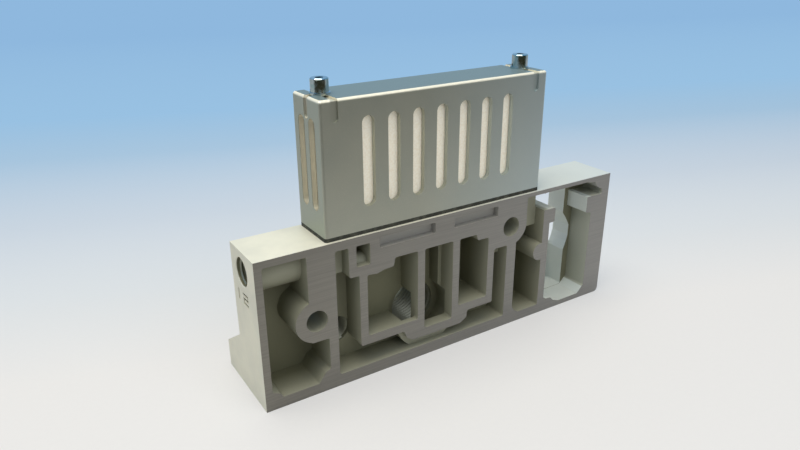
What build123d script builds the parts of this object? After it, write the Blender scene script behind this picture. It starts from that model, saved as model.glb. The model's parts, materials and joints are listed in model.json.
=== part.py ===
"""Supply and exhaust end station of a pneumatic valve island, with its silencer housing on top.

Frame: +X runs along the station from the threaded pilot port to the far end, +Y from the open
(milled) joint face to the rear foot, +Z up. The origin is the centre of the footprint, on the
surface the station stands on. In the bay outlines below, the first coordinate is measured from
the pilot port end and the second from the base, both in millimetres.
"""

from build123d import *
import os

# ---------------------------------------------------------------- body casting, overall
body_width = 24.0  # joint face to rear face
body_height = 66.0
foot_reach = 17.0  # how far the foot runs out behind the rear face
foot_root_height = 24.0  # foot height where it leaves the rear face
foot_toe_height = 12.6  # foot height at its free edge
corner_radius = 2.2  # cast corners of the far end
bay_depth = 18.0  # end bays, from the joint face to the inner wall
gallery_depth = 12.1  # U shaped gallery
supply_bay_depth = 13.8
supply_roof_step = 13.5  # where the roof of the supply bay steps up
port_bay_depth = 8.8
exhaust_bay_depth = 20.0
exhaust_roof_step = 9.2  # where the roof of the exhaust bay steps down
chamber_radius = 14.0  # round chamber that joins the supply and middle bays to the rear port
chamber_start = 5.6
chamber_lip = 2.8  # depth at which it breaks through the floor of the supply bay
chamber_lip_depth = 2.0  # of that break below the floor
chamber_end = 15.5
chamber_wall = 2.0  # round the chamber, where the gallery runs under it
rib_radius = 3.0  # upright rib at the back of the exhaust bay
rib_offset = 4.0
ledge_depth = 6.0  # shallow steps in front of the cover screw bosses
bay_radius = 0.9

# ---------------------------------------------------------------- walls and bays along the length
port_wall = 3.1
rail_height = 5.5  # bottom rail under the U shaped gallery
left_bay_width = 18.0
left_bay_low_width = 26.1
left_column = 4.1  # between the left bay and the U shaped gallery
riser_width = 10.6  # left leg of the U shaped gallery
riser_neck_width = 6.05
web = 3.6  # walls between the gallery bays
supply_bay_width = 24.9
port_bay_width = 15.0
exhaust_bay_width = 16.3
drop_width = 7.7  # right leg of the U shaped gallery
tie_column = 5.5
right_bay_width = 16.8
post_width = 4.0  # free standing post beside the window
window_width = 28.3
back_web_start = 22.5  # along the window, from the post
back_web_waist = 27.4  # where it is narrowest
back_web_foot = 24.9  # at its lower end
back_web_depth = 13.0  # behind the joint face
far_wall = 11.2

# ---------------------------------------------------------------- heights
gallery_roof = 13.4  # top of body to the roof of the three middle bays
u_ceiling = 15.6  # underside of the ring round the middle bays
ring_wall = 4.0
top_wall = 1.9  # over the window
post_drop = 10.7  # top of the post below the top face
ring_keel = 5.7  # how far the ring reaches down under the middle bay

# ---------------------------------------------------------------- tie rods
tie_hole_radius = 4.7
tie_boss_radius = 9.35
tie_low_height = 34.1
tie_high_drop = 14.3  # below the top face

# ---------------------------------------------------------------- pilot port (G 1/4)
port_radius = 5.9
port_depth = 12.0
port_boss_radius = 8.8
port_from_joint = 13.75
port_drop = 9.1
port_chamfer = 0.4
drill_radius = 3.3
drill_depth = 27.5

digit_height = 5.0  # port number sunk into the end face
digit_width = 5.2
digit_stroke = 1.1
digit_depth = 0.6
digit_pitch = 7.2
digit_from_joint = 8.9
digit_base_height = 43.1

# ---------------------------------------------------------------- small features of the joint face
label_slot_depth = 3.0
label_slot_height = 4.95
label_slot_drop = 2.4
label_slot_lengths = (27.4, 24.4)
label_slot_gap = 10.0
window_square_width = 6.4
window_square_height = 9.3

# ---------------------------------------------------------------- rear ports
rear_port_x = 79.6
rear_port_radius = 11.0  # core of its thread
rear_port_height = 18.4
small_rear_port_radius = 5.9  # core of G 1/4
small_rear_port_height = 19.9
rear_boss_wall = 3.2  # round each rear port, out to the free edge of the foot
thread_clearance = 0.05

# ---------------------------------------------------------------- foot fixing holes
foot_hole_radius = 2.25
foot_hole_inset = 9.0
foot_hole_from_toe = 8.0
foot_pad_radius = 4.6
foot_pad_height = 10.0

# ---------------------------------------------------------------- silencer housing
cover_length = 110.5
cover_width = 22.6
cover_height = 53.5
cover_start = 30.2  # from the pilot port end
cover_inset = 1.35  # behind the joint face
cover_wall = 2.2
cover_edge_radius = 1.2
gasket_thickness = 1.65
slot_width = 5.5
slot_length = 36.2
slot_pitch = 11.46
slot_row_middle = 84.8  # from the pilot port end
slot_count = 7
slot_rise = 9.65  # lower end of the slots above the housing's rim
end_slot_pitch = 8.6
end_slot_width = 5.2
relief_width = 3.0  # grooves that run out from the screw heads
relief_depth = 0.9
relief_drop = 7.1

# ---------------------------------------------------------------- silencer element
element_clearance = 0.3
element_wall = 3.0
plenum_length = 78.0
plenum_top_wall = 8.0

# ---------------------------------------------------------------- cover screws (M4)
screw_radius = 2.0
screw_clearance = 0.25
screw_head_radius = 3.5
screw_head_height = 4.0
screw_head_chamfer = 0.35
hex_across_flats = 3.0
hex_depth = 2.2
screw_inset = 6.2  # from each end of the housing
screw_grip = 12.0  # thread length in the body
spring_washer_radius = 3.5
spring_washer_thickness = 1.3
flat_washer_radius = 4.0
flat_washer_thickness = 0.8
washer_clearance = 0.15
washer_gap = 0.9  # split of the spring washer

# ---------------------------------------------------------------- passages under the housing
passage_width = 7.5
passage_inset = 1.8  # inside the bay it opens into
passage_from_joint = 8.0

# ================================================================ derived places
left_bay_x = port_wall
riser_x = left_bay_x + left_bay_low_width + left_column
supply_x = riser_x + riser_width + web
port_bay_x = supply_x + supply_bay_width + web
exhaust_x = port_bay_x + port_bay_width + web
drop_x = exhaust_x + exhaust_bay_width + web
right_bay_x = drop_x + drop_width + tie_column
post_x = right_bay_x + right_bay_width
window_x = post_x + post_width
window_end_x = window_x + window_width
body_length = window_end_x + far_wall
footprint = body_width + foot_reach
front_y = -footprint / 2
rear_y = front_y + body_width
toe_y = front_y + footprint

roof_z = body_height - gallery_roof
window_top_z = body_height - top_wall
post_top_z = body_height - post_drop
floor_z = rail_height
sump_z = floor_z - 0.8
bay_floor_z = u_ceiling + ring_wall
keel_z = u_ceiling - ring_keel

tie_low = (left_bay_x + left_bay_width + 3.1, tie_low_height)
tie_high = (drop_x + drop_width + 1.9, body_height - tie_high_drop)

cover_x = cover_start - body_length / 2
cover_y = front_y + cover_inset
cover_mid_x = cover_x + cover_length / 2
cover_mid_y = cover_y + cover_width / 2
gasket_z = body_height
rim_z = gasket_z + gasket_thickness
cover_top_z = rim_z + cover_height
screw_xs = (cover_x + screw_inset, cover_x + cover_length - screw_inset)
spring_washer_z = cover_top_z + flat_washer_thickness
screw_head_z = spring_washer_z + spring_washer_thickness
riser_mid = riser_x + riser_width / 2

# joint face as a drawing plane: local x from the pilot port end, local y up from the base
JOINT = Plane(origin=(-body_length / 2, front_y, 0), x_dir=(1, 0, 0), z_dir=(0, -1, 0))


# ================================================================ helpers
def outline(points, radius=bay_radius):
    """Closed outline on the joint face, with its corners rounded where they have room."""
    face = make_face(Polyline(*points, close=True))
    return fillet(face.vertices(), radius) if radius else face


def panel(x0, x1, z0, z1):
    """Upright rectangle on the joint face, from its four limits."""
    return Pos((x0 + x1) / 2, (z0 + z1) / 2) * Rectangle(x1 - x0, z1 - z0)


def into(face, depth, start=0.0):
    """Solid that runs from a depth behind the joint face to a greater one."""
    return extrude(JOINT * Pos(0, 0, -start) * face, amount=depth - start, dir=(0, 1, 0))


def disc(centre, radius):
    """Round outline on the joint face."""
    return Pos(*centre) * Circle(radius)


def upright(x, y, z0, z1, radius):
    """Cylinder along Z between two heights."""
    return Pos(x, y, (z0 + z1) / 2) * Cylinder(radius, z1 - z0)


def block(x0, x1, y0, y1, z0, z1):
    """Box from its six limits."""
    size = (x1 - x0, y1 - y0, z1 - z0)
    return Pos((x0 + x1) / 2, (y0 + y1) / 2, (z0 + z1) / 2) * Box(*size)


def along(plane, radius, length):
    """Cylinder that starts at a plane and runs against its normal."""
    return extrude(plane * Circle(radius), amount=-length)


# ================================================================ body casting
def left_bay():
    """Tall bay behind the pilot port, with the port's own boss across its top."""
    x0 = left_bay_x
    x1 = x0 + left_bay_width
    x2 = x0 + left_bay_low_width
    top = body_height - 3.0
    points = [
        (x0, sump_z + 3.6), (x0 + 3.3, sump_z + 2.0), (x0 + 4.6, sump_z),
        (x2 - 5.6, sump_z), (x2 - 2.6, sump_z + 4.2), (x2, sump_z + 5.4),
        (x2, tie_low[1] - tie_boss_radius), (x1, tie_low[1] - tie_boss_radius), (x1, top), (x0, top),
    ]
    bay = into(outline(points), bay_depth)
    boss_plane = Plane(origin=(-body_length / 2, front_y + port_from_joint, body_height - port_drop),
                       z_dir=(-1, 0, 0))
    bay -= along(boss_plane, port_boss_radius, x1)
    return bay - into(disc(tie_low, tie_boss_radius), body_width)


def u_gallery():
    """U shaped gallery: a riser, a channel along the bottom rail and a drop leg."""
    x0 = riser_x
    x1 = riser_x + riser_width
    x2 = drop_x
    x3 = drop_x + drop_width
    neck = x0 + riser_neck_width
    riser_top = roof_z - 3.7
    neck_top = body_height - 3.8
    keel_left = port_bay_x - 6.0
    keel_right = port_bay_x + port_bay_width + 5.0
    points = [
        (x0, floor_z), (x3, floor_z), (x3, tie_high[1] - tie_boss_radius + 0.5),
        (x2, tie_high[1] - tie_boss_radius + 0.5), (x2, u_ceiling),
        (keel_right + 4.0, u_ceiling), (keel_right + 3.6, u_ceiling - 3.6), (keel_right, keel_z),
        (keel_left, keel_z), (keel_left - 3.2, keel_z + 2.0), (keel_left - 4.6, u_ceiling),
        (x1, u_ceiling), (x1, riser_top), (neck, riser_top), (neck, neck_top), (x0, neck_top),
    ]
    bay = into(outline(points), gallery_depth)
    neck_step = panel(x0 - web, neck + 0.01, riser_top + 0.6, neck_top + 1)
    drop_step = panel(x2 - 0.01, x3 + web, tie_high[1] - 14.3, tie_high[1])
    bay -= into(neck_step, body_width, ledge_depth)
    boss = disc((rear_port_x, rear_port_height), chamber_radius + chamber_wall)
    bay -= into(boss, body_width, chamber_start - chamber_wall)
    return bay - into(drop_step, body_width, ledge_depth)


def supply_bay():
    """Left bay of the ring, with its waved roof."""
    x0 = supply_x
    x1 = x0 + supply_bay_width
    points = [
        (x0, bay_floor_z), (x1, bay_floor_z), (x1, roof_z), (x0 + supply_roof_step, roof_z),
        (x0 + supply_roof_step - 0.8, roof_z - 3.8), (x0 + 8.2, roof_z - 4.0), (x0 + 4.6, roof_z - 5.0),
        (x0, roof_z - 4.4),
    ]
    return into(outline(points), supply_bay_depth)


def port_bay():
    """Middle bay of the ring, with the chamber of the large rear port behind it."""
    face = panel(port_bay_x, port_bay_x + port_bay_width, u_ceiling - 1.6, roof_z)
    return into(fillet(face.vertices(), bay_radius), port_bay_depth)


def exhaust_bay():
    """Right bay of the ring, with a notched roof."""
    x0 = exhaust_x
    x1 = x0 + exhaust_bay_width
    points = [
        (x0, bay_floor_z), (x1, bay_floor_z), (x1, roof_z - 3.0),
        (x0 + exhaust_roof_step + 1.0, roof_z - 3.0), (x0 + exhaust_roof_step, roof_z), (x0, roof_z),
    ]
    bay = into(outline(points), exhaust_bay_depth)
    rib_x = x0 + rib_offset - body_length / 2
    return bay - upright(rib_x, front_y + exhaust_bay_depth, bay_floor_z - 1, roof_z + 1, rib_radius)


def right_bay():
    """Deep bay between the upper tie rod boss and the post, open over the post."""
    x0 = right_bay_x
    x1 = post_x
    gap_x = tie_high[0] + tie_boss_radius - 0.15
    points = [
        (x0, floor_z + 3.3), (x0 + 1.4, floor_z + 0.8), (x0 + 4.0, sump_z), (x1, sump_z),
        (x1, window_top_z), (gap_x, window_top_z), (gap_x, tie_high[1]), (x0, tie_high[1]),
    ]
    bay = into(outline(points), bay_depth)
    step = panel(x0 - web, x1 + 1, post_top_z - 8.8, body_height)
    bay -= into(step, body_width, ledge_depth)
    bay -= into(disc(tie_high, tie_boss_radius), body_width)
    return bay - into(disc((x1 - 0.8, tie_low_height), 4.4), body_width)


def window():
    """Opening beside the far end: right through near the post, closed behind at its far side."""
    x0 = window_x
    x1 = window_end_x
    points = [
        (x0, sump_z + 2.9), (x0 + 1.7, sump_z + 1.7), (x0 + 5.0, sump_z + 1.3), (x0 + 7.2, 3.9),
        (x0 + 11.0, 2.6), (x1 - 4.0, 2.7), (x1, 6.7), (x1, body_height - 18.7),
        (x1 - 3.5, body_height - 18.2), (x1 - 3.5, window_top_z), (post_x - 0.5, window_top_z),
        (post_x - 0.5, post_top_z), (x0, post_top_z),
    ]
    opening = into(outline(points), body_width)
    waist = x0 + back_web_waist
    web_side = [
        (x0 + back_web_start, body_height), (x0 + back_web_start, 44.0), (waist - 2.6, 41.0),
        (waist, 36.5), (waist, 30.5), (waist - 0.9, 27.0), (x0 + back_web_foot, 22.5),
        (x0 + back_web_foot, 0), (x1 + 1, 0), (x1 + 1, body_height),
    ]
    opening -= into(outline(web_side), body_width, back_web_depth)
    recess = [
        (x1 - 8.0, body_height - 9.9), (x1 + 6.4, body_height - 9.9), (x1 + 6.4, body_height - 7.4),
        (x1 + 2.8, body_height - 5.5), (x1 + 0.9, body_height - 2.7), (x1 - 8.0, window_top_z),
    ]
    opening += into(outline(recess), back_web_depth)
    hook = panel(x0 - 1.5, x0 + 3.3, post_top_z - 7.2, post_top_z)
    return opening - into(fillet(hook.vertices(), bay_radius), body_width)


def body_profile():
    """End view of the casting: an upright slab with a sloping foot behind it."""
    points = [
        (front_y, 0), (toe_y, 0), (toe_y, foot_toe_height), (rear_y, foot_root_height),
        (rear_y, body_height), (front_y, body_height),
    ]
    face = make_face(Polyline(*points, close=True))
    return extrude(Plane(origin=(-body_length / 2, 0, 0), x_dir=(0, 1, 0), z_dir=(1, 0, 0)) * face,
                   amount=body_length)


def digit_strokes(digit):
    """Straight strokes of a one or a two, each as limits across and up from its lower left corner."""
    w, h, t = digit_width, digit_height, digit_stroke
    if digit == 1:
        return [(w / 2 - t / 2, w / 2 + t / 2, 0, h)]
    middle = h / 2 - t / 2
    return [
        (0, w, h - t, h), (w - t, w, middle, h), (0, w, middle, middle + t), (0, t, 0, middle + t),
        (0, w, 0, t),
    ]


def port_number():
    """Sunk number twelve under the pilot port, read from outside the end face."""
    end_x = -body_length / 2
    strokes = []
    for place, digit in enumerate((1, 2)):
        right_y = front_y + digit_from_joint + digit_width + (1 - place) * digit_pitch
        for u0, u1, v0, v1 in digit_strokes(digit):
            strokes.append(block(end_x - 1, end_x + digit_depth, right_y - u1, right_y - u0,
                                 digit_base_height + v0, digit_base_height + v1))
    return strokes


def rear_ports():
    """Centre along the length, height, radius and first depth of each rear port."""
    return (
        (rear_port_x, rear_port_height, rear_port_radius, chamber_end),
        (riser_mid, small_rear_port_height, small_rear_port_radius, gallery_depth),
    )


def passages():
    """Upright passages: first and last coordinate along the length, and lower end, of each."""
    return (
        (supply_x + supply_roof_step, supply_x + supply_bay_width, roof_z - 2),
        (port_bay_x, port_bay_x + port_bay_width, rear_port_height),
        (exhaust_x, exhaust_x + exhaust_roof_step, roof_z - 2),
    )


def passage_cut(start, end, low_z, high_z):
    """Space of one passage between two heights."""
    x0 = start + passage_inset - body_length / 2
    x1 = end - passage_inset - body_length / 2
    y0 = front_y + passage_from_joint
    return block(x0, x1, y0, y0 + passage_width, low_z, high_z)


def manifold_body():
    """The casting with its bays, bores, port and passages."""
    body = body_profile()
    far_edge = body.edges().filter_by(Axis.Y).sort_by(Axis.X)[-2:].sort_by(Axis.Z)[0]
    body = fillet(far_edge, corner_radius)
    for x, z, radius, _ in rear_ports():
        body += into(disc((x, z), radius + rear_boss_wall), footprint, body_width - 1)
    for cut in (left_bay(), u_gallery(), supply_bay(), port_bay(), exhaust_bay(), right_bay(), window()):
        body -= cut

    for centre in (tie_low, tie_high):
        body -= into(disc(centre, tie_hole_radius), body_width)

    # pilot port: tapped bore and its drilling
    port = Plane(origin=(-body_length / 2, front_y + port_from_joint, body_height - port_drop),
                 z_dir=(-1, 0, 0))
    body -= along(port, port_radius, port_depth)
    body -= along(port, drill_radius, drill_depth)
    mouth = port_radius + port_chamfer
    body -= loft([port * Circle(mouth), port.offset(-port_chamfer) * Circle(port_radius)])

    for stroke in port_number():
        body -= stroke

    # square window with the pilot drilling's round boss across its floor
    square_x = riser_x + riser_neck_width + 3.4
    square_z = body_height - 3.85 - window_square_height
    square = panel(square_x, square_x + window_square_width, square_z, square_z + window_square_height)
    cut = into(fillet(square.vertices(), 0.6), port_from_joint - 2.75)
    tunnel = Plane(origin=(square_x - body_length / 2 - 1, front_y + 7.3, square_z - 0.9),
                   z_dir=(-1, 0, 0))
    body -= cut - along(tunnel, 4.0, window_square_width + 2)

    # shallow label slots near the top edge
    slot_z = body_height - label_slot_drop - label_slot_height
    slot_x = square_x + window_square_width + 4.75
    for length in label_slot_lengths:
        face = panel(slot_x, slot_x + length, slot_z, slot_z + label_slot_height)
        body -= into(fillet(face.vertices(), 0.5), label_slot_depth)
        slot_x += length + label_slot_gap

    for start, end, low_z in passages():
        body -= passage_cut(start, end, low_z, body_height + 1)

    # rear ports, cover screw threads and foot holes
    chamber = disc((rear_port_x, rear_port_height), chamber_radius)
    body -= into(chamber, chamber_end, chamber_start)
    lip = panel(supply_x, supply_x + supply_bay_width, bay_floor_z - chamber_lip_depth, roof_z)
    body -= into(chamber & lip, chamber_end, chamber_lip)
    for x, z, radius, depth in rear_ports():
        body -= into(disc((x, z), radius), footprint + 1, depth - 0.5)
    for x in screw_xs:
        body -= upright(x, cover_mid_y, body_height - screw_grip - 1, body_height + 1,
                        screw_radius + thread_clearance)
    foot_y = toe_y - foot_hole_from_toe
    for side in (-1, 1):
        x = side * (body_length / 2 - foot_hole_inset)
        body -= upright(x, foot_y, -1, foot_root_height, foot_hole_radius)
        body -= upright(x, foot_y, foot_pad_height, foot_root_height, foot_pad_radius)
    return body


# ================================================================ silencer housing
def relief(x, y, run_x, run_y):
    """Groove from a screw head out over the top edge and a little way down the side."""
    half = relief_width / 2
    top_z = cover_top_z + 1
    low_z = cover_top_z - relief_drop
    if run_y:
        face_y = cover_y if run_y < 0 else cover_y + cover_width
        inner_y = face_y - run_y * relief_depth
        outer_y = face_y + run_y
        y0, y1 = sorted((inner_y, outer_y))
        side = block(x - half, x + half, y0, y1, low_z, top_z)
        tip = Pos(x, (y0 + y1) / 2, low_z) * Rot(90, 0, 0) * Cylinder(half, y1 - y0)
        y0, y1 = sorted((y, outer_y))
        return side + tip + block(x - half, x + half, y0, y1, cover_top_z - relief_depth, top_z)
    face_x = cover_x if run_x < 0 else cover_x + cover_length
    inner_x = face_x - run_x * relief_depth
    outer_x = face_x + run_x
    x0, x1 = sorted((inner_x, outer_x))
    side = block(x0, x1, y - half, y + half, low_z, top_z)
    tip = Pos((x0 + x1) / 2, y, low_z) * Rot(0, 90, 0) * Cylinder(half, x1 - x0)
    x0, x1 = sorted((x, outer_x))
    return side + tip + block(x0, x1, y - half, y + half, cover_top_z - relief_depth, top_z)


def slot_cut(x, y, width, along_x):
    """Upright round ended slot through a side wall of the housing."""
    z = rim_z + slot_rise + slot_length / 2
    face = SlotOverall(slot_length, width, rotation=90)
    plane = Plane(origin=(x, y, z), x_dir=(1, 0, 0), z_dir=(0, -1, 0))
    if along_x:
        plane = Plane(origin=(x, y, z), x_dir=(0, 1, 0), z_dir=(1, 0, 0))
    return extrude(plane * face, amount=cover_wall * 1.5, both=True)


def silencer_housing():
    """Box open at the bottom, slotted on its sides, with two screw seats on top."""
    box = block(cover_x, cover_x + cover_length, cover_y, cover_y + cover_width, rim_z, cover_top_z)
    box = fillet(box.edges().filter_by(Axis.Z) + box.faces().sort_by(Axis.Z)[-1].edges(),
                 cover_edge_radius)
    box -= block(cover_x + cover_wall, cover_x + cover_length - cover_wall, cover_y + cover_wall,
                 cover_y + cover_width - cover_wall, rim_z - 1, cover_top_z - cover_wall)
    for index in range(slot_count):
        x = slot_row_middle - body_length / 2 + (index - (slot_count - 1) / 2) * slot_pitch
        for y in (cover_y, cover_y + cover_width):
            box -= slot_cut(x, y, slot_width, False)
    for x in (cover_x, cover_x + cover_length):
        for side in (-1, 1):
            box -= slot_cut(x, cover_mid_y + side * end_slot_pitch / 2, end_slot_width, True)
    for x, outward in zip(screw_xs, (-1, 1)):
        box -= upright(x, cover_mid_y, rim_z, cover_top_z + 1, screw_radius + screw_clearance)
        box -= relief(x, cover_mid_y, 0, -1)
        box -= relief(x, cover_mid_y, 0, 1)
        box -= relief(x, cover_mid_y, outward, 0)
    return box


def housing_gasket():
    """Flat rubber gasket under the housing's rim, open over the passages."""
    plate = block(cover_x, cover_x + cover_length, cover_y, cover_y + cover_width, gasket_z, rim_z)
    plate = fillet(plate.edges().filter_by(Axis.Z), cover_edge_radius)
    for start, end, _ in passages():
        plate -= passage_cut(start, end, gasket_z - 1, rim_z + 1)
    for x in screw_xs:
        plate -= upright(x, cover_mid_y, gasket_z - 1, rim_z + 1, screw_radius + screw_clearance)
    return plate


def silencer_element():
    """Porous block that fills the housing, with a plenum open at the bottom."""
    gap = cover_wall + element_clearance
    core = block(cover_x + gap, cover_x + cover_length - gap, cover_y + gap,
                 cover_y + cover_width - gap, rim_z, cover_top_z - gap)
    half = cover_width / 2 - gap - element_wall
    core -= block(cover_mid_x - plenum_length / 2, cover_mid_x + plenum_length / 2, cover_mid_y - half,
                  cover_mid_y + half, rim_z - 1, cover_top_z - gap - plenum_top_wall)
    for x in screw_xs:
        core -= upright(x, cover_mid_y, rim_z - 1, cover_top_z, screw_radius + screw_clearance)
    return core


# ================================================================ fasteners
def hexagon(across_flats):
    """Hexagonal outline from its width across flats."""
    return RegularPolygon(across_flats / 2, 6, major_radius=False)


def cover_screw(x):
    """M4 socket head cap screw through the housing into the body."""
    under = screw_head_z
    head = upright(x, cover_mid_y, under, under + screw_head_height, screw_head_radius)
    head = chamfer(head.edges().sort_by(Axis.Z)[-1], screw_head_chamfer)
    socket = Pos(x, cover_mid_y, under + screw_head_height) * hexagon(hex_across_flats)
    head -= extrude(socket, amount=-hex_depth)
    shank = upright(x, cover_mid_y, body_height - screw_grip, under, screw_radius)
    return head + shank


def washer(x, low_z, thickness, radius):
    """Plain ring on a cover screw."""
    ring = upright(x, cover_mid_y, low_z, low_z + thickness, radius)
    return ring - upright(x, cover_mid_y, low_z - 1, low_z + thickness + 1, screw_radius + washer_clearance)


def spring_washer(x):
    """Split spring washer under a cover screw's head."""
    ring = washer(x, spring_washer_z, spring_washer_thickness, spring_washer_radius)
    split = block(-washer_gap / 2, washer_gap / 2, 0, spring_washer_radius + 1, -9, 9)
    return ring - Pos(x, cover_mid_y, spring_washer_z) * Rot(0, 0, 70) * split


def main():
    """Builds every piece and writes its STEP file."""
    os.makedirs("parts", exist_ok=True)
    pieces = {
        "manifold_body": manifold_body(),
        "silencer_housing": silencer_housing(),
        "housing_gasket": housing_gasket(),
        "silencer_element": silencer_element(),
    }
    for side, x in zip(("left", "right"), screw_xs):
        pieces[f"{side}_cover_screw"] = cover_screw(x)
        pieces[f"{side}_spring_washer"] = spring_washer(x)
        pieces[f"{side}_flat_washer"] = washer(x, cover_top_z, flat_washer_thickness,
                                               flat_washer_radius)
    for name, piece in pieces.items():
        export_step(piece, f"parts/{name}.step")
        print(name, round(piece.volume), piece.is_valid)


main()
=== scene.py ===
import json
import logging
import math
from dataclasses import dataclass, field
from enum import Enum
from typing import Any, Optional

import bmesh
import bpy
from mathutils import Matrix, Vector


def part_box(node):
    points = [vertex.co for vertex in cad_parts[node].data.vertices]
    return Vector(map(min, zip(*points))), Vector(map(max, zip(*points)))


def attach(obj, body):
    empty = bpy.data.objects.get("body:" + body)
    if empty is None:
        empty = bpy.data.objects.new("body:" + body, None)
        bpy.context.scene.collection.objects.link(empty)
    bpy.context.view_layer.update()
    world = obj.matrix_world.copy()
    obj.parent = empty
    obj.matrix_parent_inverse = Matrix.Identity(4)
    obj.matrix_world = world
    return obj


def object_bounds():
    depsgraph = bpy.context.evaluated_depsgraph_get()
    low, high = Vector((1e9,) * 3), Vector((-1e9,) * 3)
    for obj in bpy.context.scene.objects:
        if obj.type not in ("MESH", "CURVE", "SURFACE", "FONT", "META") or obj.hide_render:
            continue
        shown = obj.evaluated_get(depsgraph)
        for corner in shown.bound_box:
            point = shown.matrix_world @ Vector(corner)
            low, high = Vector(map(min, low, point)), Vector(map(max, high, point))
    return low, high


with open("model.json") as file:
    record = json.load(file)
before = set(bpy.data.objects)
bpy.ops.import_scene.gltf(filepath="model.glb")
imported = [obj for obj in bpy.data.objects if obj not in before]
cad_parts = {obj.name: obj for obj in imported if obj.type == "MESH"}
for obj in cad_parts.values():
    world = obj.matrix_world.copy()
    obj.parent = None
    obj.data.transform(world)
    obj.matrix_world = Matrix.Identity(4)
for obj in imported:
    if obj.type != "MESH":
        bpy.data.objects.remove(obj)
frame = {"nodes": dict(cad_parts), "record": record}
CAD_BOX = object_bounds()
LOG = logging.getLogger("station")
MM = 0.001
ROOT = "root"

# Sockets of the Mix node in its colour mode, which go by number because their names repeat.
MIX_SHARE, MIX_FIRST, MIX_SECOND, MIX_RESULT = 0, 6, 7, 2

Socket = bpy.types.NodeSocket
Range = tuple[float, float]
Point = tuple[float, float, float]


class Hue(Enum):
    """The sRGB colours of the station's finishes and of the studio."""

    CAST_LIGHT = "E4E2D2"
    CAST_SHADE = "D9D8CA"
    # painted shade: the outer cast skin turns darker and bluer towards the far end, where less
    # light falls
    CAST_FAR = "CBD2D0"
    # painted shade of the bays' walls near the face; the tapped threads also take it as the tone of
    # their marks
    CAST_INSIDE = "A3A392"
    # painted shade of the bays' walls deep inside
    CAST_DEEP = "74735C"
    MILLED = "817E78"
    # painted light: the milled face lightens towards the far end
    MILLED_WARM = "91908F"
    BLASTED = "B2B3A6"
    BLASTED_SHADE = "A9ACA1"
    # painted light: the left end face's own tone, set by how the light falls on that side
    BLASTED_LEFT = "A4AA9F"
    # painted light: the walls of the slots next to the left end, lit from the left
    SLOT_WALL = "D2CFC2"
    # painted highlight: the bright cream of the rim and of the sparkle's glints
    BLASTED_EDGE = "F7F1DC"
    # painted reflection: the sky seen in the top face
    BLASTED_TOP = "708284"
    # painted reflection: the sky's blue, taken up towards the far end
    BLASTED_FAR = "B4C0C1"
    # painted shade of the shallow label slots, lighter than that of the deep bays
    SLOT = "9E9C96"
    TAPPED = "77786A"
    ELEMENT = "FFF8E6"
    ELEMENT_PORE = "FAF0DA"
    RUBBER = "2C2D26"
    RUBBER_DUST = "4A4B40"
    ZINC = "C3CBCE"
    ZINC_TINT = "9FB9BD"
    PAPER = "CDCECF"
    PAPER_FIBRE = "C9CACC"
    PAPER_NEAR = "FEFDFD"
    PAPER_MIDDLE = "DEEDFA"
    PAPER_BACK = "BED5EC"
    PAPER_FAR = "9BC3E3"
    PAPER_END = "8FB8DE"
    SKY_LOW = "F4F8FC"
    SKY_HIGH = "8FB9DE"
    ROOM = "4A4632"
    WARM_LAMP = "FFF6E2"
    PLAIN_LAMP = "F4F8FF"


class Axis(Enum):
    """Object axes, by the name of the socket that carries each one."""

    X = "X"
    Y = "Y"
    Z = "Z"


class Ray(Enum):
    """Kinds of light path, by the name of the socket that tells each one."""

    CAMERA = "Is Camera Ray"
    GLOSSY = "Is Glossy Ray"


def linear(hue: Hue) -> tuple[float, float, float, float]:
    """Turns an sRGB hex colour to linear light.

    Args:
        hue: The colour as it is named above.

    Returns:
        Red, green, blue and alpha for a colour socket.
    """
    parts = [int(hue.value[i : i + 2], 16) / 255 for i in (0, 2, 4)]
    flat = [c / 12.92 if c <= 0.04045 else ((c + 0.055) / 1.055) ** 2.4 for c in parts]
    return (flat[0], flat[1], flat[2], 1.0)


def add_node(
    tree: bpy.types.NodeTree,
    kind: str,
    settings: Optional[dict[str, Any]] = None,
    inputs: Optional[dict[Any, Any]] = None,
) -> bpy.types.Node:
    """Adds one node, with its settings, values and links.

    Args:
        tree: The material's or world's node tree.
        kind: Blender's name of the node type.
        settings: Properties of the node.
        inputs: Socket name or number to a value, or to the output socket that feeds it.

    Returns:
        The new node.
    """
    node = tree.nodes.new(kind)
    for name, value in (settings or {}).items():
        setattr(node, name, value)
    for name, value in (inputs or {}).items():
        if isinstance(value, bpy.types.NodeSocket):
            tree.links.new(value, node.inputs[name])
        else:
            node.inputs[name].default_value = value
    return node


def per_mm(size_mm: float) -> float:
    """Gives the texture scale of a pattern on Object coordinates.

    Args:
        size_mm: Size of the pattern in millimetres.

    Returns:
        The texture's Scale.
    """
    return 1.0 / (size_mm * MM)


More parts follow.
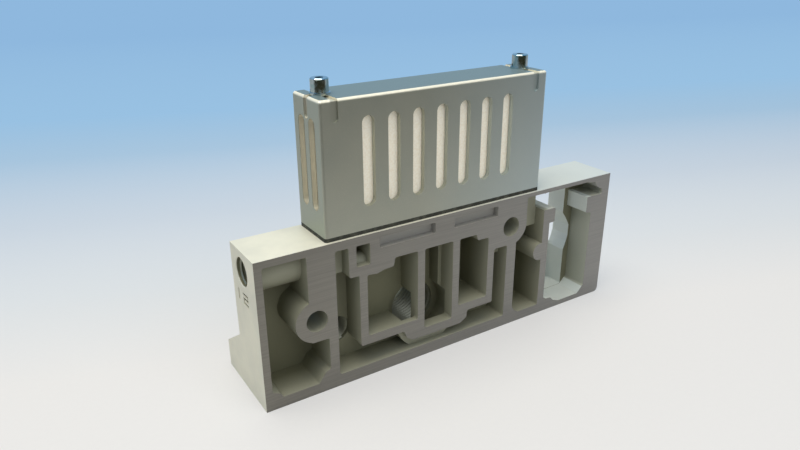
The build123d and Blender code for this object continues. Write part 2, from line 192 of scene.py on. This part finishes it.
class Wiring:
    """A node tree, with short forms of the nodes that the finishes and the sky share."""

    tree: bpy.types.NodeTree

    def math(self, operation: str, first: Any, second: Any = 0.0, third: Any = 0.0) -> Socket:
        """Adds a Math node.

        Args:
            operation: Blender's name of the operation.
            first: First number or socket.
            second: Second number or socket, where the operation reads one.
            third: Third number or socket, where the operation reads one.

        Returns:
            The result's socket.
        """
        inputs = {0: first, 1: second, 2: third}
        return add_node(self.tree, "ShaderNodeMath", {"operation": operation}, inputs).outputs[0]

    def ramp(self, value: Any, low: float, high: float, to_low: float = 0.0,
             to_high: float = 1.0) -> Socket:
        """Carries a value from one range to another and holds it at the ends.

        Args:
            value: The socket that is carried.
            low: Where the first range starts.
            high: Where the first range ends.
            to_low: What the start becomes.
            to_high: What the end becomes.

        Returns:
            The result's socket.
        """
        inputs = {"Value": value, "From Min": low, "From Max": high,
                  "To Min": to_low, "To Max": to_high}
        return add_node(self.tree, "ShaderNodeMapRange", {"clamp": True}, inputs).outputs[0]

    def blend(self, share: Any, first: Any, second: Any) -> Socket:
        """Mixes two colours.

        Args:
            share: How much of the second colour shows, from 0 to 1.
            first: First hue or colour socket.
            second: Second hue or colour socket.

        Returns:
            The mixed colour's socket.
        """
        first = linear(first) if isinstance(first, Hue) else first
        second = linear(second) if isinstance(second, Hue) else second
        inputs = {MIX_SHARE: share, MIX_FIRST: first, MIX_SECOND: second}
        mixed = add_node(self.tree, "ShaderNodeMix", {"data_type": "RGBA"}, inputs)
        return mixed.outputs[MIX_RESULT]

    def overlay(self, share: Any, first: Socket, second: Socket) -> Socket:
        """Mixes two shaders.

        Args:
            share: How much of the second shader shows, from 0 to 1.
            first: First shader's socket.
            second: Second shader's socket.

        Returns:
            The mixed shader's socket.
        """
        inputs = {0: share, 1: first, 2: second}
        return add_node(self.tree, "ShaderNodeMixShader", inputs=inputs).outputs[0]

    def seen_by(self, ray: Ray) -> Socket:
        """Tells one kind of light path from the others.

        Args:
            ray: The kind of light path.

        Returns:
            A socket that is 1 for that kind and 0 for the others.
        """
        return add_node(self.tree, "ShaderNodeLightPath").outputs[ray.value]


@dataclass
class Surface(Wiring):
    """A new material with its shader, and the Object coordinates that its patterns read."""

    name: str
    metallic: float
    roughness: float
    material: bpy.types.Material = field(init=False)
    tree: bpy.types.NodeTree = field(init=False)
    shader: bpy.types.Node = field(init=False)
    place: Socket = field(init=False)

    def __post_init__(self) -> None:
        """Makes the material and its fixed nodes."""
        self.material = bpy.data.materials.new(self.name)
        self.material.use_nodes = True
        self.tree = self.material.node_tree
        self.tree.nodes.clear()
        self.shader = add_node(self.tree, "ShaderNodeBsdfPrincipled", inputs={
            "Metallic": self.metallic, "Roughness": self.roughness})
        self.show(self.shader.outputs[0])
        self.place = add_node(self.tree, "ShaderNodeTexCoord").outputs["Object"]

    def show(self, shader: Socket) -> None:
        """Joins a shader to the material's output, which is made when it is first needed.

        Args:
            shader: The shader's socket.
        """
        outputs = (node for node in self.tree.nodes if node.type == "OUTPUT_MATERIAL")
        output = next(outputs, None) or add_node(self.tree, "ShaderNodeOutputMaterial")
        self.tree.links.new(shader, output.inputs["Surface"])

    def drive(self, socket: str, value: Socket) -> None:
        """Feeds one of the shader's sockets.

        Args:
            socket: Name of the shader's socket.
            value: The socket that feeds it.
        """
        self.tree.links.new(value, self.shader.inputs[socket])

    def noise(self, size_mm: float, detail: float = 3.0, place: Optional[Socket] = None) -> Socket:
        """Adds noise.

        Args:
            size_mm: About how many millimetres its patches are across.
            detail: How many finer layers it has.
            place: The coordinates, where they aren't the plain Object ones.

        Returns:
            The noise's socket, from 0 to 1.
        """
        inputs = {"Vector": place or self.place, "Scale": per_mm(size_mm), "Detail": detail}
        return add_node(self.tree, "ShaderNodeTexNoise", inputs=inputs).outputs["Fac"]

    def along(self, axis: Axis) -> Socket:
        """Reads one Object coordinate.

        Args:
            axis: The axis it is measured along.

        Returns:
            The coordinate's socket, in metres.
        """
        split = add_node(self.tree, "ShaderNodeSeparateXYZ", inputs={0: self.place})
        return split.outputs[axis.value]

    def finish(self, colour: Any, height: Any, depth_mm: float,
               strength: float = 0.6) -> bpy.types.Material:
        """Joins colour and relief to the shader.

        Args:
            colour: The base colour socket.
            height: The height socket of the relief.
            depth_mm: Depth of the relief in millimetres.
            strength: Share of the relief that shows.

        Returns:
            The finished material.
        """
        self.drive("Base Color", colour)
        bump = add_node(self.tree, "ShaderNodeBump", inputs={
            "Height": height, "Distance": depth_mm * MM, "Strength": strength})
        self.drive("Normal", bump.outputs[0])
        return self.material


@dataclass
class CastingPoint:
    """Where a point of the casting lies, with the casting's lowest and highest corners."""

    x: Socket
    z: Socket
    behind: Socket  # behind the joint face
    low: Vector
    high: Vector


@dataclass(frozen=True)
class CastAluminium:
    """Die cast aluminium, with one milled face.

    The cast skin is light, matt and a little mottled outside, with painted shade that grows towards
    the far end. Its bays carry painted shade, darker with depth; the window at the far end is left
    light where light falls in, and the rear ports' bores are painted dark. The milled face is plain
    metal, with fine cutter lines along it and painted light that grows towards its far end. Each
    pair of roughness, metallic and relief is for the cast skin first and the milled face second.
    """

    roughness: Range = (0.58, 0.36)
    metallic: Range = (0.25, 0.85)
    relief: Range = (1.0, 0.15)
    relief_mm: float = 0.08
    grain_mm: float = 0.7  # the real skin is near 0.2 mm, drawn coarser so that it shows
    grain_detail: float = 4.0
    mottle_mm: float = 14.0
    mottle: Range = (0.35, 0.65)
    cutter_line_mm: float = 0.45
    cutter_detail: float = 2.0
    cutter_stretch: Point = (0.02, 1.0, 1.0)  # the lines run along the face
    cutter: Range = (0.3, 0.7)
    cutter_share: Range = (0.0, 0.08)
    milled_depth_mm: float = 0.05
    outer_skin_mm: float = 0.3
    # depth over which the bays' painted shade deepens
    bay_shade_fade_mm: float = 14.0
    wall_mm: float = 23.5  # joint face to just inside the rear face
    # painted light: the window keeps the outer skin's colour
    window_mm: float = 40.0  # far end to the post: light falls in here from both sides
    window_fade_mm: float = 2.0
    pocket_mm: float = 11.8  # far end to just outside the far wall of that window
    pocket_fade_mm: float = 0.3
    pocket_shade: float = 0.75
    # painted shade: the web behind the window is painted dark, as in shadow
    web_mm: float = 13.0  # joint face to the web behind the window
    web_room_mm: float = 0.1
    bore_room_mm: float = 0.2
    slot_low_mm: float = 58.5  # base to the lower edge of the label slots
    slot_start_mm: float = 52.0  # near end to the first of them
    slot_depth_mm: float = 3.1

    def inside(self, skin: Surface, point: CastingPoint) -> Socket:
        """Tells the bays' walls, which take painted shade, from the outer skin.

        Args:
            skin: The material.
            point: Where the point lies.

        Returns:
            A socket that is 1 in the bays and 0 on the outer skin.
        """
        from_near = skin.math("SUBTRACT", point.x, point.low.x)
        from_far = skin.math("SUBTRACT", point.high.x, point.x)
        inward = skin.math("MINIMUM", from_near, from_far)
        inward = skin.math("MINIMUM", inward, skin.math("SUBTRACT", point.high.z, point.z))
        inward = skin.math("MINIMUM", inward, skin.math("SUBTRACT", point.z, point.low.z))
        within = skin.ramp(inward, self.outer_skin_mm * MM, 2 * self.outer_skin_mm * MM)
        before_wall = skin.math("LESS_THAN", point.behind, self.wall_mm * MM)
        return skin.math("MULTIPLY", within, before_wall)

    def shaded(self, skin: Surface, point: CastingPoint) -> Socket:
        """Paints shade on the bays but leaves the window light, as painted light, apart from its
        far wall and the web behind it, which take painted shade.

        Args:
            skin: The material.
            point: Where the point lies.

        Returns:
            A socket that is 1 where the walls take painted shade and 0 where they are left light.
        """
        from_far = skin.math("SUBTRACT", point.high.x, point.x)
        shade_past_window = skin.ramp(from_far, self.window_mm * MM, (self.window_mm + self.window_fade_mm) * MM)
        far_wall_shade = skin.ramp(from_far, self.pocket_mm * MM,
                             (self.pocket_mm + self.pocket_fade_mm) * MM, self.pocket_shade, 0.0)
        web_shade = skin.math("COMPARE", point.behind, self.web_mm * MM, self.web_room_mm * MM)
        return skin.math("MAXIMUM", shade_past_window, skin.math("MAXIMUM", far_wall_shade, web_shade))

    def bored(self, skin: Surface, point: CastingPoint, port: dict[str, Any]) -> Socket:
        """Tells a port's bore, which is painted dark as shade, from the rest.

        Args:
            skin: The material.
            point: Where the point lies.
            port: The port's mount in the record.

        Returns:
            A socket that is 1 in the bore and 0 elsewhere.
        """
        centre = port["pos_m"]
        across = skin.math("POWER", skin.math("SUBTRACT", point.x, centre[0]), 2.0)
        up = skin.math("POWER", skin.math("SUBTRACT", point.z, centre[2]), 2.0)
        edge = (port["dims"]["r_mm"] + self.bore_room_mm) * MM
        return skin.math("LESS_THAN", skin.math("ADD", across, up), edge * edge)

    def in_slot(self, skin: Surface, point: CastingPoint) -> Socket:
        """Tells the label slots, which take a lighter painted shade, from the other bays.

        Args:
            skin: The material.
            point: Where the point lies.

        Returns:
            A socket that is 1 in the slots and 0 elsewhere.
        """
        above = skin.math("GREATER_THAN", point.z, self.slot_low_mm * MM)
        shallow = skin.math("LESS_THAN", point.behind, self.slot_depth_mm * MM)
        past_start = skin.math("GREATER_THAN", point.x, point.low.x + self.slot_start_mm * MM)
        return skin.math("MULTIPLY", skin.math("MULTIPLY", above, shallow), past_start)

    def cast_colour(self, skin: Surface, point: CastingPoint, dark: Socket) -> Socket:
        """Colours the cast skin, with painted shade in its bays and towards the far end.

        Args:
            skin: The material.
            point: Where the point lies.
            dark: How much painted shade the point takes, from 0 on the outer skin to 1 in the bays.

        Returns:
            The colour's socket.
        """
        mottle = skin.ramp(skin.noise(self.mottle_mm), *self.mottle)
        outside = skin.blend(mottle, Hue.CAST_LIGHT, Hue.CAST_SHADE)
        # painted shade: the outer skin darkens and cools from the middle to the far end
        outside = skin.blend(skin.ramp(point.x, 0.0, point.high.x), outside, Hue.CAST_FAR)
        # painted shade: the bays' walls darken with depth behind the face
        depth = skin.ramp(point.behind, 0.0, self.bay_shade_fade_mm * MM)
        bay = skin.blend(depth, Hue.CAST_INSIDE, Hue.CAST_DEEP)
        # painted shade: the bays' colour, lighter in the shallow label slots, covers the skin where
        # it is shaded
        return skin.blend(dark, outside, skin.blend(self.in_slot(skin, point), bay, Hue.SLOT))

    def milled_colour(self, skin: Surface, point: CastingPoint) -> Socket:
        """Colours the milled face, with painted light that grows towards the far end.

        Args:
            skin: The material.
            point: Where the point lies.

        Returns:
            The colour's socket.
        """
        # painted light: the milled face turns lighter from the near end to the far end
        run = skin.ramp(point.x, point.low.x, point.high.x)
        milled = skin.blend(run, Hue.MILLED, Hue.MILLED_WARM)
        lines = add_node(skin.tree, "ShaderNodeMapping", inputs={
            "Vector": skin.place, "Scale": self.cutter_stretch})
        cutter = skin.noise(self.cutter_line_mm, self.cutter_detail, lines.outputs[0])
        share = skin.ramp(cutter, *self.cutter, *self.cutter_share)
        return skin.blend(share, milled, Hue.CAST_SHADE)

    def make(self, low: Vector, high: Vector, ports: list[dict[str, Any]]) -> bpy.types.Material:
        """Builds the material.

        Args:
            low: Lowest corner of the casting, in metres.
            high: Highest corner of the casting, in metres.
            ports: The record's mounts of the ports at the back, painted dark inside as shade.

        Returns:
            The finished material.
        """
        skin = Surface("cast_aluminium", self.metallic[0], self.roughness[0])
        behind = skin.math("SUBTRACT", skin.along(Axis.Y), low.y)
        point = CastingPoint(skin.along(Axis.X), skin.along(Axis.Z), behind, low, high)
        # painted shade: how dark the bays' walls are painted, apart from the window where light
        # falls in
        dark = skin.math("MULTIPLY", self.inside(skin, point), self.shaded(skin, point))
        # painted shade: the rear ports' bores are darkened
        for port in ports:
            dark = skin.math("MAXIMUM", dark, self.bored(skin, point, port))
        on_face = skin.math("LESS_THAN", behind, self.milled_depth_mm * MM)
        skin.drive("Roughness", skin.ramp(on_face, 0.0, 1.0, *self.roughness))
        skin.drive("Metallic", skin.ramp(on_face, 0.0, 1.0, *self.metallic))
        grain = skin.noise(self.grain_mm, self.grain_detail)
        height = skin.math("MULTIPLY", grain, skin.ramp(on_face, 0.0, 1.0, *self.relief))
        colour = skin.blend(on_face, self.cast_colour(skin, point, dark),
                            self.milled_colour(skin, point))
        return skin.finish(colour, height, self.relief_mm)


@dataclass(frozen=True)
class TappedAluminium:
    """Freshly tapped aluminium: bare metal, with fine marks along the thread."""

    metallic: float = 0.5
    roughness: float = 0.35
    mark_mm: float = 0.4
    relief_mm: float = 0.02

    def make(self) -> bpy.types.Material:
        """Builds the material."""
        skin = Surface("tapped_aluminium", self.metallic, self.roughness)
        marks = skin.noise(self.mark_mm)
        colour = skin.blend(marks, Hue.TAPPED, Hue.CAST_INSIDE)
        return skin.finish(colour, marks, self.relief_mm)


@dataclass(frozen=True)
class BlastedAluminium:
    """Bead blasted aluminium: an even satin, with painted glints for a fine sparkle and a painted
    highlight on the rim.

    The far end and the top carry a painted reflection of the sky and are bluer than the left end
    and the long sides. The left end face and the slot walls next to it have painted light of their
    own.
    """

    metallic: Range = (0.8, 0.3)  # below the rim, at the rim
    roughness: Range = (0.36, 0.48)
    relief_mm: float = 0.05
    bead_mm: float = 0.35  # beads leave pits near 0.1 mm, drawn coarser so that they show
    bead_detail: float = 2.0
    bead: Range = (0.3, 0.7)
    # painted glints of the sparkle
    sparkle: Range = (0.55, 0.75)
    sparkle_share: Range = (0.0, 0.12)
    cloud_mm: float = 22.0
    cloud: Range = (0.3, 0.7)
    # painted reflection: the span over which the sky's blue takes over towards the far end
    far_run_mm: Range = (-20.0, 50.0)  # where it turns to the far end's tone
    # painted highlight: where the rim's painted highlight starts and where it is whole
    rim_mm: Range = (1.2, 0.6)  # below the top face, from where the rounded rim starts to brighten
    # painted reflection: how far below the top the sky's tone fades in
    top_skin_mm: Range = (0.06, 0.03)
    end_skin_mm: float = 0.1  # from the left end
    # painted light: where the lighter slot walls lie
    wall_middle_mm: float = 1.3  # from the left end to the middle of its slots' walls
    wall_half_mm: float = 1.1

    def make(self, low: Vector, top: float) -> bpy.types.Material:
        """Builds the material.

        Args:
            low: Lowest corner of the cover, in metres.
            top: Height of the cover's top face, in metres.

        Returns:
            The finished material.
        """
        skin = Surface("blasted_aluminium", self.metallic[0], self.roughness[0])
        x, y, z = (skin.along(axis) for axis in Axis)
        bead = skin.noise(self.bead_mm, self.bead_detail)
        cloud = skin.ramp(skin.noise(self.cloud_mm), *self.cloud)
        colour = skin.blend(cloud, Hue.BLASTED, Hue.BLASTED_SHADE)
        # painted reflection of the sky towards the far end
        far_sky_reflection = skin.ramp(x, *(place * MM for place in self.far_run_mm))
        colour = skin.blend(far_sky_reflection, colour, Hue.BLASTED_FAR)
        # painted glints: bright specks where the beads would catch the light
        sparkle = skin.ramp(bead, *self.sparkle, *self.sparkle_share)
        colour = skin.blend(sparkle, colour, Hue.BLASTED_EDGE)
        inward = skin.math("SUBTRACT", x, low.x)
        # painted light: the left end face takes its own tone
        end_face_light = skin.math("LESS_THAN", inward, self.end_skin_mm * MM)
        colour = skin.blend(end_face_light, colour, Hue.BLASTED_LEFT)
        # painted light on the slots' walls next to the left end
        wall = skin.math("COMPARE", inward, self.wall_middle_mm * MM, self.wall_half_mm * MM)
        back = skin.math("GREATER_THAN", y, low.y + self.rim_mm[0] * MM)
        colour = skin.blend(skin.math("MULTIPLY", wall, back), colour, Hue.SLOT_WALL)
        # painted highlight along the rounded rim of the top face
        rim = skin.ramp(z, *(top - depth * MM for depth in self.rim_mm))
        colour = skin.blend(rim, colour, Hue.BLASTED_EDGE)
        # painted reflection of the sky on the top face
        top_sky_reflection = skin.ramp(z, *(top - depth * MM for depth in self.top_skin_mm))
        colour = skin.blend(top_sky_reflection, colour, Hue.BLASTED_TOP)
        skin.drive("Metallic", skin.ramp(rim, 0.0, 1.0, *self.metallic))
        skin.drive("Roughness", skin.ramp(bead, *self.bead, *self.roughness))
        return skin.finish(colour, bead, self.relief_mm)


@dataclass(frozen=True)
class SinteredElement:
    """Sintered polyethylene silencer: chalky cream, with open pores between its grains."""

    roughness: float = 0.88
    grain_mm: float = 0.9
    pore: Range = (0.3, 0.8)
    relief_mm: float = 0.03

    def make(self) -> bpy.types.Material:
        """Builds the material."""
        skin = Surface("sintered_polyethylene", 0.0, self.roughness)
        cells = add_node(skin.tree, "ShaderNodeTexVoronoi", inputs={
            "Vector": skin.place, "Scale": per_mm(self.grain_mm)}).outputs["Distance"]
        colour = skin.blend(skin.ramp(cells, *self.pore), Hue.ELEMENT, Hue.ELEMENT_PORE)
        return skin.finish(colour, skin.ramp(cells, 0.0, self.pore[1], 1.0, 0.0), self.relief_mm)


@dataclass(frozen=True)
class NitrileRubber:
    """Moulded nitrile rubber: near black and matt, with dust in its pores."""

    roughness: float = 0.75
    dust_mm: float = 2.5
    dust: Range = (0.45, 0.7)
    grain_mm: float = 0.4
    relief_mm: float = 0.04

    def make(self) -> bpy.types.Material:
        """Builds the material."""
        skin = Surface("nitrile_rubber", 0.0, self.roughness)
        dust = skin.ramp(skin.noise(self.dust_mm), *self.dust)
        colour = skin.blend(dust, Hue.RUBBER, Hue.RUBBER_DUST)
        return skin.finish(colour, skin.noise(self.grain_mm), self.relief_mm)


@dataclass(frozen=True)
class BrightZinc:
    """Bright zinc plate on turned steel: mirror like, faintly teal, with fine turning rings."""

    roughness: Range = (0.12, 0.24)
    smear_mm: float = 1.2
    smear: Range = (0.3, 0.7)
    tint_mm: float = 3.0
    tint: Range = (0.35, 0.65)
    ring_mm: float = 0.5
    relief_mm: float = 0.01
    relief_share: float = 0.3

    def make(self) -> bpy.types.Material:
        """Builds the material."""
        skin = Surface("bright_zinc_steel", 1.0, self.roughness[0])
        turn = skin.math("MULTIPLY", skin.along(Axis.Z), math.tau * per_mm(self.ring_mm))
        smear = skin.ramp(skin.noise(self.smear_mm), *self.smear, *self.roughness)
        skin.drive("Roughness", smear)
        tint = skin.ramp(skin.noise(self.tint_mm), *self.tint)
        colour = skin.blend(tint, Hue.ZINC, Hue.ZINC_TINT)
        return skin.finish(colour, skin.math("SINE", turn), self.relief_mm, self.relief_share)


@dataclass
class CadPieces:
    """Carried over pieces that share one finish."""

    nodes: tuple[str, ...]
    material: bpy.types.Material

    def dress(self) -> None:
        """Gives every piece the finish."""
        for name in self.nodes:
            piece = frame["nodes"][name]
            piece.data.materials.clear()
            piece.data.materials.append(self.material)
            LOG.info("dressed %s with %s", name, self.material.name)


@dataclass
class PortThread:
    """Thread of one port: a spiral ridge that stands in from the bore's wall."""

    name: str
    mouth: Vector
    inward: Vector
    core_mm: float
    pitch_mm: float
    length_mm: float
    ridge_mm: float = 0.7
    half_share: float = 0.36  # half the ridge's foot, as a share of the pitch
    steps_a_turn: int = 48

    def build(self, material: bpy.types.Material) -> bpy.types.Object:
        """Turns the ridge's profile about the bore's axis.

        Args:
            material: The thread's finish.

        Returns:
            The thread as a piece that rides on the station.
        """
        turns = self.length_mm / self.pitch_mm
        half = self.pitch_mm * self.half_share
        mesh = bmesh.new()
        crest = self.core_mm - self.ridge_mm
        corners = [(self.core_mm, -half), (crest, 0.0), (self.core_mm, half)]
        verts = [mesh.verts.new((r * MM, 0, (along + half) * MM)) for r, along in corners]
        profile = mesh.faces.new(verts)
        bmesh.ops.spin(mesh, geom=[profile, *profile.edges, *profile.verts],
                       axis=(0, 0, 1), cent=(0, 0, 0),
                       dvec=(0, 0, self.pitch_mm * MM / self.steps_a_turn),
                       angle=math.tau * turns, steps=int(self.steps_a_turn * turns),
                       use_merge=False, use_duplicate=False)
        bmesh.ops.recalc_face_normals(mesh, faces=mesh.faces)
        turn = Vector((0, 0, 1)).rotation_difference(self.inward).to_matrix().to_4x4()
        bmesh.ops.transform(mesh, matrix=Matrix.Translation(self.mouth) @ turn, verts=mesh.verts)
        data = bpy.data.meshes.new(self.name)
        mesh.to_mesh(data)
        mesh.free()
        piece = bpy.data.objects.new(self.name, data)
        bpy.context.collection.objects.link(piece)
        data.materials.append(material)
        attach(piece, ROOT)
        LOG.info("built %s", self.name)
        return piece


@dataclass
class Casting:
    """The station's body with its finish and the threads of its ports."""

    thread_inset_mm: float = 0.9  # mouth of the bore to the first turn
    free_insets: float = 2.6  # insets without a thread, at both ends together
    pitches_mm: dict[str, float] = field(default_factory=lambda: {
        "pilot_port": 1.34, "rear_port_large": 1.81, "rear_port_small": 1.34})

    def build(self) -> None:
        """Dresses the casting and adds its threads."""
        low, high = (Vector(corner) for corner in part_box("manifold_body"))
        mounts = frame["record"]["mounts"]
        rear = [mount for mount in mounts if mount["name"].startswith("rear_port")]
        material = CastAluminium().make(low, high, rear)
        CadPieces(("manifold_body",), material).dress()
        tapped = TappedAluminium().make()
        for mount in mounts:
            if mount["name"] in self.pitches_mm:
                self.thread(mount).build(tapped)

    def thread(self, mount: dict[str, Any]) -> PortThread:
        """Places the thread of one port.

        Args:
            mount: The port's mount in the record.

        Returns:
            The thread, not yet built.
        """
        outward = Vector(mount["axis"])
        long_mm = mount["dims"]["length_mm"]
        mouth = Vector(mount["pos_m"]) + outward * (long_mm / 2 - self.thread_inset_mm) * MM
        length = long_mm - self.free_insets * self.thread_inset_mm
        return PortThread(f"{mount['name']}_thread", mouth, -outward, mount["dims"]["r_mm"],
                          self.pitches_mm[mount["name"]], length)


@dataclass
class SilencerStack:
    """Housing, gasket and porous element."""

    def build(self) -> None:
        """Dresses the three pieces."""
        low, high = (Vector(corner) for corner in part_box("silencer_housing"))
        CadPieces(("silencer_housing",), BlastedAluminium().make(low, high.z)).dress()
        CadPieces(("silencer_element",), SinteredElement().make()).dress()
        CadPieces(("housing_gasket",), NitrileRubber().make()).dress()


@dataclass
class CoverFasteners:
    """Cap screws with their spring and flat washers."""

    sides: tuple[str, ...] = ("left", "right")
    kinds: tuple[str, ...] = ("cover_screw", "spring_washer", "flat_washer")

    def build(self) -> None:
        """Dresses every fastener."""
        names = tuple(f"{side}_{kind}" for side in self.sides for kind in self.kinds)
        CadPieces(names, BrightZinc().make()).dress()


@dataclass
class View:
    """The camera: its place, its lens and the ways that it faces."""

    eye: Vector = field(default_factory=lambda: Vector((-0.16829, -0.23558, 0.17360)))
    forward: Vector = field(default_factory=lambda: Vector((0.4971226, 0.77687472, -0.3864386)))
    right: Vector = field(default_factory=lambda: Vector((0.84122117, -0.54067014, -0.00476895)))
    lens_mm: float = 30.62
    near_clip: float = 0.01  # metres

    def build(self) -> None:
        """Sets the camera."""
        data = bpy.data.cameras.new("camera")
        data.lens = self.lens_mm
        data.clip_start = self.near_clip
        camera = bpy.data.objects.new("camera", data)
        up = self.right.cross(self.forward)
        turn = Matrix((self.right, up, -self.forward)).transposed().to_4x4()
        camera.matrix_world = Matrix.Translation(self.eye) @ turn
        bpy.context.collection.objects.link(camera)
        bpy.context.scene.camera = camera


@dataclass
class Backdrop:
    """Paper floor, near white under the station and pale blue further back.

    For the camera the paper glows, more so with distance. In the metal's reflections its nearest
    part is a dark room. Distances run over the floor from the eye, in metres.
    """

    view: View
    span: float = 6.0
    roughness: float = 0.8
    fibre_mm: float = 2.0
    relief_mm: float = 0.02
    run: float = 1.6
    tilt: float = 0.25  # the blue comes nearer on the left
    glow_run: Range = (0.35, 0.8)
    glow_share: Range = (0.35, 1.0)
    room_run: Range = (0.0, 0.12)
    room_strength: float = 0.6
    bands: tuple[tuple[float, Hue], ...] = (
        (0.28, Hue.PAPER_NEAR), (0.36, Hue.PAPER_MIDDLE), (0.47, Hue.PAPER_BACK),
        (0.64, Hue.PAPER_FAR), (1.5, Hue.PAPER_END))

    def build(self) -> None:
        """Lays the floor that takes the station's shadow."""
        mesh = bmesh.new()
        bmesh.ops.create_grid(mesh, x_segments=1, y_segments=1, size=self.span / 2)
        bmesh.ops.translate(mesh, vec=(0, 0, CAD_BOX[0][2]), verts=mesh.verts)
        data = bpy.data.meshes.new("floor")
        mesh.to_mesh(data)
        mesh.free()
        floor = bpy.data.objects.new("floor", data)
        bpy.context.collection.objects.link(floor)
        data.materials.append(self.paper())

    def distance(self, skin: Surface) -> Socket:
        """Measures how far back a point lies.

        Args:
            skin: The paper.

        Returns:
            The distance's socket.
        """
        level = Vector((self.view.forward.x, self.view.forward.y, 0)).normalized()
        level -= self.tilt * Vector((self.view.right.x, self.view.right.y, 0))
        eye = Vector((self.view.eye.x, self.view.eye.y, 0))
        across = skin.math("MULTIPLY", skin.along(Axis.X), level.x)
        run = skin.math("MULTIPLY_ADD", skin.along(Axis.Y), level.y, across)
        return skin.math("SUBTRACT", run, eye.dot(level))

    def banded(self, skin: Surface, run: Socket) -> Socket:
        """Colours the glow by distance.

        Args:
            skin: The paper.
            run: The distance's socket.

        Returns:
            The colour's socket.
        """
        share = skin.ramp(run, 0.0, self.run)
        ramp = add_node(skin.tree, "ShaderNodeValToRGB", inputs={"Fac": share})
        stops = ramp.color_ramp.elements
        while len(stops) < len(self.bands):
            stops.new(0.5)
        for stop, (place, hue) in zip(stops, self.bands):
            stop.position = place / self.run
            stop.color = linear(hue)
        return ramp.outputs[0]

    def paper(self) -> bpy.types.Material:
        """Builds the paper's material."""
        skin = Surface("backdrop_paper", 0.0, self.roughness)
        run = self.distance(skin)
        fibre = skin.noise(self.fibre_mm)
        skin.finish(skin.blend(fibre, Hue.PAPER, Hue.PAPER_FIBRE), fibre, self.relief_mm)
        glow = add_node(skin.tree, "ShaderNodeEmission", inputs={
            "Color": self.banded(skin, run), "Strength": 1.0}).outputs[0]
        room = add_node(skin.tree, "ShaderNodeEmission", inputs={
            "Color": linear(Hue.ROOM), "Strength": self.room_strength}).outputs[0]
        far = skin.ramp(run, *self.glow_run, *self.glow_share)
        near = skin.ramp(run, *self.room_run, 1.0, 0.0)
        glowing = skin.math("MULTIPLY", skin.seen_by(Ray.CAMERA), far)
        mixed = skin.overlay(glowing, skin.shader.outputs[0], glow)
        dark = skin.math("MULTIPLY", skin.seen_by(Ray.GLOSSY), near)
        skin.show(skin.overlay(dark, mixed, room))
        return skin.material


@dataclass
class Sky(Wiring):
    """Even light, with the pale blue that the camera sees and the room that metal sees."""

    rise: Range = (-0.12, 0.16)  # Z of a ray, from where it is white to where it is blue
    front: Range = (-0.75, -0.25)  # Y of a ray, from where the room is whole to where it is gone
    strength: float = 0.5
    tree: bpy.types.NodeTree = field(init=False)

    def background(self, colour: Any, strength: float) -> Socket:
        """Adds one background.

        Args:
            colour: Colour or colour socket.
            strength: How bright it is.

        Returns:
            The background's socket.
        """
        inputs = {"Color": colour, "Strength": strength}
        return add_node(self.tree, "ShaderNodeBackground", inputs=inputs).outputs[0]

    def build(self) -> None:
        """Sets the world."""
        world = bpy.data.worlds.new("studio")
        bpy.context.scene.world = world
        world.use_nodes = True
        self.tree = world.node_tree
        self.tree.nodes.clear()
        way = add_node(self.tree, "ShaderNodeTexCoord").outputs["Generated"]
        look = add_node(self.tree, "ShaderNodeSeparateXYZ", inputs={0: way}).outputs
        glossy = self.seen_by(Ray.GLOSSY)
        sky = self.blend(self.ramp(look["Z"], *self.rise), Hue.SKY_LOW, Hue.SKY_HIGH)
        room = self.math("MULTIPLY", self.ramp(look["Y"], *self.front, 1.0, 0.0), glossy)
        seen = self.background(self.blend(room, sky, Hue.ROOM), 1.0)
        lit = self.background(linear(Hue.SKY_LOW), self.strength)
        direct = self.math("MAXIMUM", self.seen_by(Ray.CAMERA), glossy)
        add_node(self.tree, "ShaderNodeOutputWorld", inputs={
            "Surface": self.overlay(direct, lit, seen)})


@dataclass
class Lamp:
    """Soft area lamp that faces the station."""

    name: str
    place: Point
    size: float  # metres
    power: float  # watts
    hue: Hue
    aim: Point = (0, 0, 0.05)

    def build(self) -> None:
        """Hangs the lamp."""
        lamp = bpy.data.lights.new(self.name, "AREA")
        lamp.energy = self.power
        lamp.size = self.size
        lamp.color = linear(self.hue)[:3]
        holder = bpy.data.objects.new(self.name, lamp)
        holder.location = self.place
        way = Vector(self.aim) - Vector(self.place)
        holder.rotation_euler = way.to_track_quat("-Z", "Y").to_euler()
        bpy.context.collection.objects.link(holder)


@dataclass
class Studio:
    """Pale floor, sky, soft lamps and camera."""

    view: View = field(default_factory=View)
    lamps: tuple[Lamp, ...] = (
        Lamp("key", place=(-0.2, -0.04, 1.0), size=0.7, power=7.8, hue=Hue.WARM_LAMP),
        Lamp("fill", place=(0.05, -0.85, 0.85), size=1.0, power=4.0, hue=Hue.PLAIN_LAMP))

    def build(self) -> None:
        """Builds the whole studio."""
        for part in (Backdrop(self.view), Sky(), *self.lamps, self.view):
            part.build()
        bpy.context.scene.view_settings.view_transform = "Standard"


def main() -> None:
    """Builds and dresses the station, then the studio round it."""
    logging.basicConfig(level=logging.INFO)
    for part in (Casting(), SilencerStack(), CoverFasteners()):
        part.build()
        LOG.info("finished %s", type(part).__name__)
    Studio().build()


if __name__ == "__main__":
    main()
